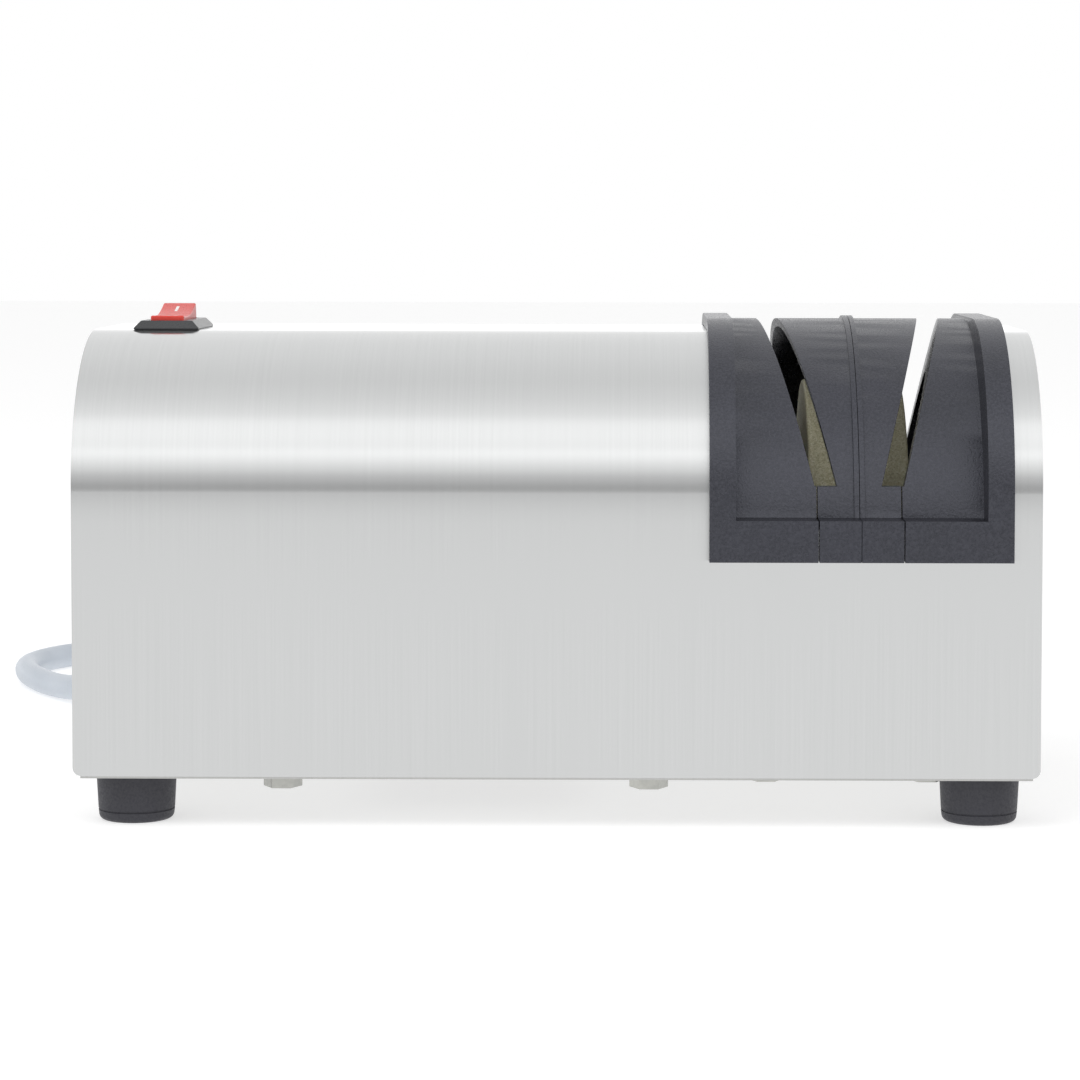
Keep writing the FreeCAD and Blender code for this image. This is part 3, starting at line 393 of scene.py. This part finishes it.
def case_section():
    """Y and Z of the sheet's outer face from the front edge over the top to the back edge."""
    wall_top = TOP - SHOULDER
    flat = HALF_DEPTH - SHOULDER
    cut_front, cut_back = SWITCH_AT[1] + np.array([-1, 1]) * SWITCH_CUT[1]
    bend = np.sort(np.append(np.linspace(0, np.pi / 2, 37), math.acos((-flat - cut_front) / SHOULDER)))
    rise = np.unique(np.concatenate([LOW_EDGE + CORNER * np.linspace(0, 1, 7), [SADDLE_CUT_LOW, wall_top],
                                     np.linspace(LOW_EDGE + 8, wall_top, 9)]))
    front = np.stack([np.full(len(rise), -HALF_DEPTH), rise], 1)
    curve = np.stack([-flat - SHOULDER * np.cos(bend[1:]), wall_top + SHOULDER * np.sin(bend[1:])], 1)
    across = np.sort(np.append(np.linspace(-flat, flat, 7)[1:-1], cut_back))
    crest = np.stack([across, np.full(len(across), TOP)], 1)
    half = np.concatenate([front, curve])
    return np.concatenate([half, crest, half[::-1] * np.array([-1, 1])])


section = case_section()
arc_length = np.concatenate([[0], np.cumsum(np.linalg.norm(np.diff(section, axis=0), axis=1))])
switch_x = SWITCH_AT[0] + np.array([-1, 1]) * SWITCH_CUT[0]
stations = np.unique(np.concatenate([np.linspace(-HALF_LENGTH, HALF_LENGTH, 29), SADDLE_CUT, switch_x]))
x_grid, row_y = np.meshgrid(stations, section[:, 0])
row_z = np.broadcast_to(section[:, 1:2], x_grid.shape)
corner_rise = np.clip(LOW_EDGE + CORNER - row_z, 0, CORNER)
corner_pull = CORNER - np.sqrt(CORNER ** 2 - corner_rise ** 2)
x_grid = np.where(np.abs(x_grid) == HALF_LENGTH, x_grid - np.sign(x_grid) * corner_pull, x_grid)
points = np.stack([x_grid, row_y, row_z], -1).reshape(-1, 3)
faces = grid_faces(len(section), len(stations))
middles = points[faces].mean(axis=1)
over_saddle = (middles[:, 0] > SADDLE_CUT[0]) & (middles[:, 0] < SADDLE_CUT[1]) & (
    middles[:, 2] > SADDLE_CUT_LOW)
over_switch = (np.abs(middles[:, 0] - SWITCH_AT[0]) < SWITCH_CUT[0]) & (
    np.abs(middles[:, 1] - SWITCH_AT[1]) < SWITCH_CUT[1]) & (middles[:, 2] > TOP - 0.1)
shell = link_mesh("case_shell", points, faces[~(over_saddle | over_switch)])
first_normal = shell.data.polygons[0].normal.y
if first_normal > 0:
    shell.data.flip_normals()
layer = shell.data.uv_layers.new(name="sheet")
uv_of_point = np.stack([x_grid * MM, np.broadcast_to(arc_length[:, None], x_grid.shape) * MM],
                       -1).reshape(-1, 2)
corner_point = np.array([loop.vertex_index for loop in shell.data.loops])
layer.data.foreach_set("uv", uv_of_point[corner_point].ravel())
thicken = shell.modifiers.new("sheet", "SOLIDIFY")
thicken.thickness = SHEET * MM
thicken.offset = -1.0
thicken.use_even_offset = True
round_edges(shell, 0.22, segments=2, degrees=50)
finish_piece(shell, STAINLESS, "case", ["housing_shell"], sharp=0)
print("case quads", len(shell.data.polygons), "normal", round(first_normal, 2))

# %% [markdown]
# The guide saddle is four mouldings with eased edges. Their shapes are right in the solids, so each
# is copied, its loose triangles are merged, and a narrow bevel rounds its edges as the mould does.
# The switch frame, the plug, the tie, the tray, the end sheets and the screws are dressed this way too.

# %% Saddle, switch frame and brackets
SOFT_EDGES = {
    "left_guide": (0.45, BLACK_ABS), "right_guide": (0.45, BLACK_ABS),
    "centre_guide_left": (0.3, BLACK_ABS), "centre_guide_right": (0.3, BLACK_ABS),
    "switch_frame": (0.3, BEZEL_NYLON), "plug_body": (0.8, CORD_PVC), "cord_tie": (0.3, BLACK_NYLON),
    "motor_bolts": (0.35, ZINC), "frame_bolts": (0.35, ZINC), "plug_pins": (0.4, BRASS),
    "case_screws": (0.5, ZINC), "base_plate": (0.25, TRAY_STEEL),
    "left_end_plate": (0.3, END_STEEL), "right_end_plate": (0.3, END_STEEL),
}
for node_name, (edge_width, finish) in SOFT_EDGES.items():
    copy_of = softened(node_name, edge_width)
    finish_piece(copy_of, finish, "case", [node_name], sharp=35)

# %% [markdown]
# The rubber feet are turned shapes: a slight taper, a witness line three millimetres above the
# floor where the mould parts, a rounded toe, and a recess that hides the screw.

# %% Feet
FOOT_AT = (124.0, 55.5)
FOOT_TOP = 14.2


def foot_profile():
    """Height and radius: recess wall, rounded toe as a quarter circle, groove, taper, top."""
    bend = np.linspace(0, np.pi / 2, 9)
    toe_radius, toe_round = 11.0, 1.8
    toe = np.stack([toe_round * (1 - np.cos(bend)), toe_radius - toe_round * (1 - np.sin(bend))], 1)
    groove = [(2.95, 11.14), (3.05, 10.85), (3.4, 10.85), (3.5, 11.18)]
    side = [(z, 11.18 + (z - 3.5) * 0.0523) for z in np.linspace(4.2, FOOT_TOP - 0.3, 8)]
    return [(5.9, 2.4), (6.0, 5.3), (5.7, 5.6), (0.35, 5.6), (0.0, 5.95)] + toe.tolist() + groove + side + [
        (FOOT_TOP, 11.45), (FOOT_TOP, 2.4), (5.9, 2.4)]


for side_name, x_sign in (("left", -1), ("right", 1)):
    for depth_name, y_sign in (("front", -1), ("rear", 1)):
        place = (FOOT_AT[0] * x_sign, FOOT_AT[1] * y_sign, 0)
        foot = turned("rubber_foot_%s_%s" % (depth_name, side_name), foot_profile(), "z", place)
        finish_piece(foot, RUBBER, "case", ["foot_%s_%s" % (depth_name, side_name)])

# %% [markdown]
# The rocker is a shallow V seen from the side: the pressed half lies level and the other half
# stands up. Its section is a smooth outline carried across its width, and its marks are a bar and a
# ring, the usual signs for on and off.

# %% Rocker
PIVOT = np.array([-12.7, 142.0])
ROCKER_TILT = math.radians(13.2)
ROCKER_HALF_WIDTH = 5.0
ARM = 13.9
RISE = 5.2
FACET_DIP = 0.28
SIDE_DEPTH = 5.4
HUB_RADIUS = 5.6
HUB_SHAPE = np.array([0.62, 1.0])
valley = RISE * np.array([-math.sin(ROCKER_TILT / 2), math.cos(ROCKER_TILT / 2)])
front_tip = valley - np.array([ARM, 0])
lift = np.array([math.cos(ROCKER_TILT), math.sin(ROCKER_TILT)])
back_tip = valley + ARM * lift
down = np.array([lift[1], -lift[0]])


def rocker_outline():
    """Y and Z: two facets that dip slightly between their ends, then the sides and the hub."""
    along = np.linspace(0, 1, 15)
    dip = FACET_DIP * np.sin(np.pi * along)
    front = front_tip + along[:, None] * (valley - front_tip) - dip[:, None] * np.array([0, 1])
    back = valley + along[1:, None] * (back_tip - valley) + dip[1:, None] * down
    turn_angle = np.linspace(np.pi * 1.08, np.pi * 1.92, 15)
    hub = HUB_RADIUS * np.stack([np.cos(turn_angle), np.sin(turn_angle)], 1) * HUB_SHAPE
    sides = [front_tip + np.array([0, -SIDE_DEPTH])], [back_tip + SIDE_DEPTH * down]
    return np.concatenate([front, back, sides[1], hub[::-1], sides[0]]) + PIVOT


outline = rocker_outline()
across = ROCKER_HALF_WIDTH * np.linspace(-1, 1, 7)
y_ring, x_ring = np.meshgrid(outline[:, 0], across + SWITCH_AT[0])
z_ring = np.broadcast_to(outline[:, 1], y_ring.shape)
ring_points = np.stack([x_ring, y_ring, z_ring], -1).reshape(-1, 3)
count = len(outline)
ring_faces = grid_faces(len(across), count, closed=True).tolist()
ring_faces += [list(range(count)), list(range(len(ring_points) - count, len(ring_points)))]
rocker = link_mesh("rocker_key", ring_points, ring_faces)
outward(rocker)
round_edges(rocker, 0.45, segments=3, degrees=38, harden=False)
finish_piece(rocker, RED_PLASTIC, "rocker", ["rocker"], sharp=38)

MARK_DEPTHS = (-0.25, 0.06)


def mark_on(name, outline_points, holes, start, along):
    """A printed mark that stands just proud of a facet; points are across X and along the facet."""
    rings = [np.array(outline_points, float)] + [np.array(h, float) for h in holes]
    up = np.array([-along[1], along[0]])
    mesh_points, mesh_faces = [], []
    for offset in MARK_DEPTHS:
        for ring in rings:
            centre = start + ring[:, 1:2] * along + up * offset
            mesh_points.append(np.column_stack([ring[:, 0] + SWITCH_AT[0], centre]))
    flat = np.concatenate(mesh_points)
    sizes = [len(r) for r in rings]
    layer_size = sum(sizes)
    begin = 0
    for size_of in sizes:
        index = begin + np.arange(size_of)
        after = begin + (np.arange(size_of) + 1) % size_of
        mesh_faces += np.stack([index, after, after + layer_size, index + layer_size], 1).tolist()
        begin += size_of
    if holes:
        outer = np.arange(sizes[0])
        inner = sizes[0] + outer
        step = (outer + 1) % sizes[0]
        for base in (0, layer_size):
            mesh_faces += np.stack([base + outer, base + step, base + inner[step], base + inner],
                                   1).tolist()
    else:
        mesh_faces += [list(range(layer_size)), list(range(layer_size, 2 * layer_size))]
    mark = link_mesh(name, flat, mesh_faces, smooth=False)
    outward(mark)
    finish_piece(mark, MARK_WHITE, "rocker", sharp=30)


BAR = (0.42, 3.2)
BAR_AT, BAR_DROP = 0.55, 0.26
RING_RADIUS, RING_BORE = 2.3, 0.68
RING_AT, RING_DROP = 0.5, 0.27
bar = [(-BAR[0], -BAR[1]), (BAR[0], -BAR[1]), (BAR[0], BAR[1]), (-BAR[0], BAR[1])]
mark_on("on_mark", bar, [], PIVOT + valley + ARM * BAR_AT * lift + BAR_DROP * down, lift)
circle = np.linspace(0, 2 * np.pi, 40, endpoint=False)
ring_outer = RING_RADIUS * np.stack([np.cos(circle), np.sin(circle)], 1)
mark_on("off_mark", ring_outer, [ring_outer * RING_BORE],
        PIVOT + valley - np.array([ARM * RING_AT, RING_DROP]), np.array([1.0, 0.0]))

# %% [markdown]
# The wheels are discs of bonded grit. Their rims are trued with a stone, so the corner is eased.
# The mesh is smooth, and the grains, 0.4 mm across, are left to the material.

# %% Wheels
AXLE_HEIGHT = 80.0
WHEEL_MIDDLE = 89.0
WHEEL_GAP = 5.0
WHEEL_WIDTH = 12.4
WHEEL_RADIUS = 47.0
WHEEL_BORE = 5.05
WHEEL_CORNER = 0.8
FLANGE_RADIUS = 20
TREAD_INSET = 1.2
for wheel_name, start_x in (("left_wheel", WHEEL_MIDDLE - WHEEL_GAP / 2 - WHEEL_WIDTH),
                            ("right_wheel", WHEEL_MIDDLE + WHEEL_GAP / 2)):
    bend = np.linspace(0, np.pi / 2, 6)
    rim = WHEEL_RADIUS - WHEEL_CORNER
    left_corner = np.stack([WHEEL_CORNER * (1 - np.cos(bend)), rim + WHEEL_CORNER * np.sin(bend)], 1)
    right_corner = left_corner[::-1] * [-1, 1] + [WHEEL_WIDTH, 0]
    spread = np.linspace(FLANGE_RADIUS, rim - 0.2, 12)
    left_face = np.stack([np.zeros(len(spread)), spread], 1)
    across_tread = np.linspace(TREAD_INSET, WHEEL_WIDTH - TREAD_INSET, 8)
    tread = np.stack([across_tread, np.full(len(across_tread), WHEEL_RADIUS)], 1)
    bore = [(0, WHEEL_BORE)]
    profile = np.concatenate([bore, left_face, left_corner, tread, right_corner,
                              left_face[::-1] + [WHEEL_WIDTH, 0], [(WHEEL_WIDTH, WHEEL_BORE)], bore])
    wheel = turned(wheel_name + "_dressed", profile, "x", (start_x, 0, AXLE_HEIGHT), steps=180)
    finish_piece(wheel, GRIT, "rotor", [wheel_name])

# %% [markdown]
# The mains cord: 9 mm of flexible PVC, about 1.8 m long. It leaves the back of the case low at the
# left, turns left and round on the table as the photograph shows, and the rest is wound in a neat
# coil behind the case. A quadratic NURBS curve follows the route's own points.

# %% Cord
CORD_RADIUS = 4.5
EXIT = (-122.0, 74.5, 30.0)
ROUTE = [(-122.0, 110.0, 30.0), (-140.0, 136.0, 21.0), (-165.0, 152.0, 9.0), (-186.0, 177.0, 4.5),
         (-205.0, 209.0, 4.6), (-213.0, 244.0, 4.5), (-197.0, 277.0, 4.6), (-163.0, 290.0, 4.5),
         (-126.0, 288.0, 4.6), (-92.0, 280.0, 4.5)]
COIL_CENTRE = np.array([-25.0, 204.0])
COIL_RADIUS = 61.6
COIL_PITCH = 9.7
COIL_TURNS = 4.0
COIL_FLOOR = 5.6
POINTS_PER_TURN = 16


def coil_points(angle):
    """Centre line: spiral in on the floor, climb one layer in a half turn, spiral out on top."""
    full = COIL_TURNS * 2 * np.pi
    radius = COIL_RADIUS - COIL_PITCH * np.minimum(angle, full - angle) / (2 * np.pi)
    climb = np.clip(angle - (full / 2 - np.pi / 2), 0, np.pi)
    height = COIL_FLOOR + COIL_PITCH * (1 - np.cos(climb)) / 2
    around = np.pi / 2 - angle
    return radius, around, height


def coil_controls():
    """Control points a little outside the coil, because the spline cuts inside its corners."""
    angle = np.arange(0.5, COIL_TURNS * POINTS_PER_TURN) * 2 * np.pi / POINTS_PER_TURN
    radius, around, height = coil_points(angle)
    outside = radius / math.cos(np.pi / POINTS_PER_TURN)
    return np.column_stack([COIL_CENTRE[0] + outside * np.cos(around),
                            COIL_CENTRE[1] + outside * np.sin(around), height])


def coil_end(angle):
    """Place and direction of the centre line at an angle."""
    pair = coil_points(np.array([angle - 0.01, angle + 0.01]))
    line = np.column_stack([COIL_CENTRE[0] + pair[0] * np.cos(pair[1]),
                            COIL_CENTRE[1] + pair[0] * np.sin(pair[1]), pair[2]])
    heading = (line[1] - line[0]) / np.linalg.norm(line[1] - line[0])
    return line.mean(axis=0), heading


first_place, first_heading = coil_end(0.01)
last_place, last_heading = coil_end(COIL_TURNS * 2 * np.pi - 0.01)
lead_in = first_place - first_heading * CORD_RADIUS * 2
tail = last_place + last_heading * CORD_RADIUS * 2
controls = [EXIT] + ROUTE + [lead_in - first_heading * 32, lead_in]
controls += coil_controls().tolist() + [tail, tail + last_heading * 28,
                                        tail + last_heading * 56 + np.array([0, 6, 0])]
controls = np.array(controls)
curve = bpy.data.curves.new("mains_cord", "CURVE")
curve.dimensions = "3D"
spline = curve.splines.new("NURBS")
spline.points.add(len(controls) - 1)
spline.points.foreach_set("co", np.column_stack([controls * MM, np.ones(len(controls))]).ravel())
spline.order_u = 3
spline.use_endpoint_u = True
spline.resolution_u = 6
curve.bevel_depth = CORD_RADIUS * MM
curve.bevel_resolution = 8
curve.use_fill_caps = True
cord = link_object("mains_cord", curve)
finish_piece(cord, CORD_PVC, "case", ["cord_lead", "cord_coil", "cord_tail"])
print("cord points", len(controls))

# %% [markdown]
# The strain relief is a moulded boot: a flange against the sheet, then a taper with ring grooves
# that lets the cord bend gradually.

# %% Strain relief
BACK = HALF_DEPTH
RELIEF_LENGTH = 23.0


def relief_profile():
    """Distance from the back panel and radius: flange, ribbed taper and rounded mouth."""
    along = np.linspace(3.4, RELIEF_LENGTH - 1.0, 70)
    slope = 7.6 - (along - 3) * 2.0 / (RELIEF_LENGTH - 3)
    rib = 0.75 * (np.cos((along - 3.4) * 2 * np.pi / 4.0) > -0.1)
    body_of = np.stack([along, slope - 0.9 + rib], 1)
    flange_part = [(-6.0, 4.6), (-6.0, 6.6), (0.0, 6.6), (0.0, 8.6), (0.4, 9.0), (2.6, 9.0), (3.0, 8.6)]
    mouth = [(RELIEF_LENGTH - 0.4, 5.4), (RELIEF_LENGTH, 5.0), (RELIEF_LENGTH, 4.6), (-6.0, 4.6)]
    return flange_part + body_of.tolist() + mouth


boot = turned("strain_relief_boot", relief_profile(), "y", (EXIT[0], BACK, EXIT[2]), steps=72)
finish_piece(boot, CORD_PVC, "case", ["strain_relief"])

# %% [markdown]
# A plain studio. The floor and the world are white where the camera sees them. The steel mirrors the
# room in bands that run along X: a dim horizon in front, a bright row of lights a little above it,
# a soft ceiling, and a bright wall behind. A curve over the angle about the X axis holds them.

# %% Studio
WHITE_LIGHT = (1.0, 1.0, 1.0, 1.0)
FLOOR_REACH = 6000
FLOOR_FRONT = -1700
LAMP_AIM = (0, 0, 0.08)
BANDS = [(-90, 0.5), (-1, 0.5), (1.5, 0.6), (4.3, 0.7), (8, 0.8), (11.8, 1.0), (16, 1.16), (21, 1.36),
         (25, 1.5), (31, 1.36), (39, 1.42), (48, 1.4), (56, 1.17), (70, 1.02), (85, 0.95), (97, 0.97),
         (117, 1.03), (144, 1.05), (158, 1.02), (168, 1.08), (173, 1.55), (180, 1.6)]


def studio_world():
    world = bpy.data.worlds.new("studio")
    bpy.context.scene.world = world
    world.use_nodes = True
    tree = world.node_tree
    tree.nodes.clear()
    ray = add_node(tree, "ShaderNodeLightPath")
    direction = add_node(tree, "ShaderNodeTexCoord").outputs["Generated"]
    parts = add_node(tree, "ShaderNodeSeparateXYZ", Vector=direction)
    ahead = add_node(tree, "ShaderNodeMath", {"operation": "MULTIPLY"}, i0=parts.outputs["Y"], i1=-1.0)
    angle = add_node(tree, "ShaderNodeMath", {"operation": "ARCTAN2"}, i0=parts.outputs["Z"],
                     i1=ahead.outputs[0])
    share = add_node(tree, "ShaderNodeMath", {"operation": "MULTIPLY"}, i0=angle.outputs[0], i1=1 / math.pi)
    bands = add_node(tree, "ShaderNodeFloatCurve", Value=share.outputs[0])
    line = bands.mapping.curves[0]
    bands.mapping.use_clip = False
    bands.mapping.extend = "HORIZONTAL"
    while len(line.points) < len(BANDS):
        line.points.new(0.0, 0.0)
    for point, (degrees, level) in zip(line.points, BANDS):
        point.location = (degrees / 180, level)
        point.handle_type = "VECTOR"
    bands.mapping.update()
    mirrored = add_node(tree, "ShaderNodeBackground", Color=WHITE_LIGHT, Strength=bands.outputs[0])
    plain = add_node(tree, "ShaderNodeBackground", Color=WHITE_LIGHT, Strength=0.6)
    seen = add_node(tree, "ShaderNodeBackground", Color=WHITE_LIGHT, Strength=1.0)
    first = add_node(tree, "ShaderNodeMixShader", i0=ray.outputs["Is Glossy Ray"], i1=plain.outputs[0],
                     i2=mirrored.outputs[0])
    either = add_node(tree, "ShaderNodeMath", {"operation": "MAXIMUM"}, i0=ray.outputs["Is Camera Ray"],
                      i1=ray.outputs["Is Transmission Ray"])
    second = add_node(tree, "ShaderNodeMixShader", i0=either.outputs[0], i1=first.outputs[0],
                      i2=seen.outputs[0])
    add_node(tree, "ShaderNodeOutputWorld", Surface=second.outputs[0])


studio_world()
floor_corners = [(-FLOOR_REACH, FLOOR_FRONT, 0), (FLOOR_REACH, FLOOR_FRONT, 0),
                 (FLOOR_REACH, FLOOR_REACH, 0), (-FLOOR_REACH, FLOOR_REACH, 0)]
floor = link_mesh("studio_floor", floor_corners, [(0, 1, 2, 3)])
floor_finish, tree, shader = new_material("pale studio floor")
set_inputs(tree, shader, Base_Color=linear("#c8c8c8"), Roughness=0.9, Specular_IOR_Level=0.1)
ray = add_node(tree, "ShaderNodeLightPath")
glow = add_node(tree, "ShaderNodeEmission", Color=WHITE_LIGHT, Strength=0.58)
lit = add_node(tree, "ShaderNodeAddShader", i0=shader.outputs[0], i1=glow.outputs[0])
mirror_glow = add_node(tree, "ShaderNodeEmission", Color=WHITE_LIGHT, Strength=1.05)
chosen = add_node(tree, "ShaderNodeMixShader", i0=ray.outputs["Is Glossy Ray"], i1=lit.outputs[0],
                  i2=mirror_glow.outputs[0])
set_inputs(tree, tree.nodes["Material Output"], Surface=chosen.outputs[0])
floor.data.materials.append(floor_finish)


def soft_lamp(name, place, target, side, watts):
    """A square area lamp that points at a place."""
    lamp = bpy.data.lights.new(name, "AREA")
    lamp.size = side
    lamp.energy = watts
    lamp_object = link_object(name, lamp)
    lamp_object.location = place
    lamp_object.rotation_euler = (Vector(target) - Vector(place)).to_track_quat("-Z", "Y").to_euler()
    lamp_object.visible_glossy = False


soft_lamp("key_light", (-0.8, -1.0, 1.9), LAMP_AIM, 1.4, 16.0)
soft_lamp("fill_light", (1.2, -1.1, 1.4), LAMP_AIM, 1.0, 6.0)
bpy.context.scene.view_settings.view_transform = "Standard"
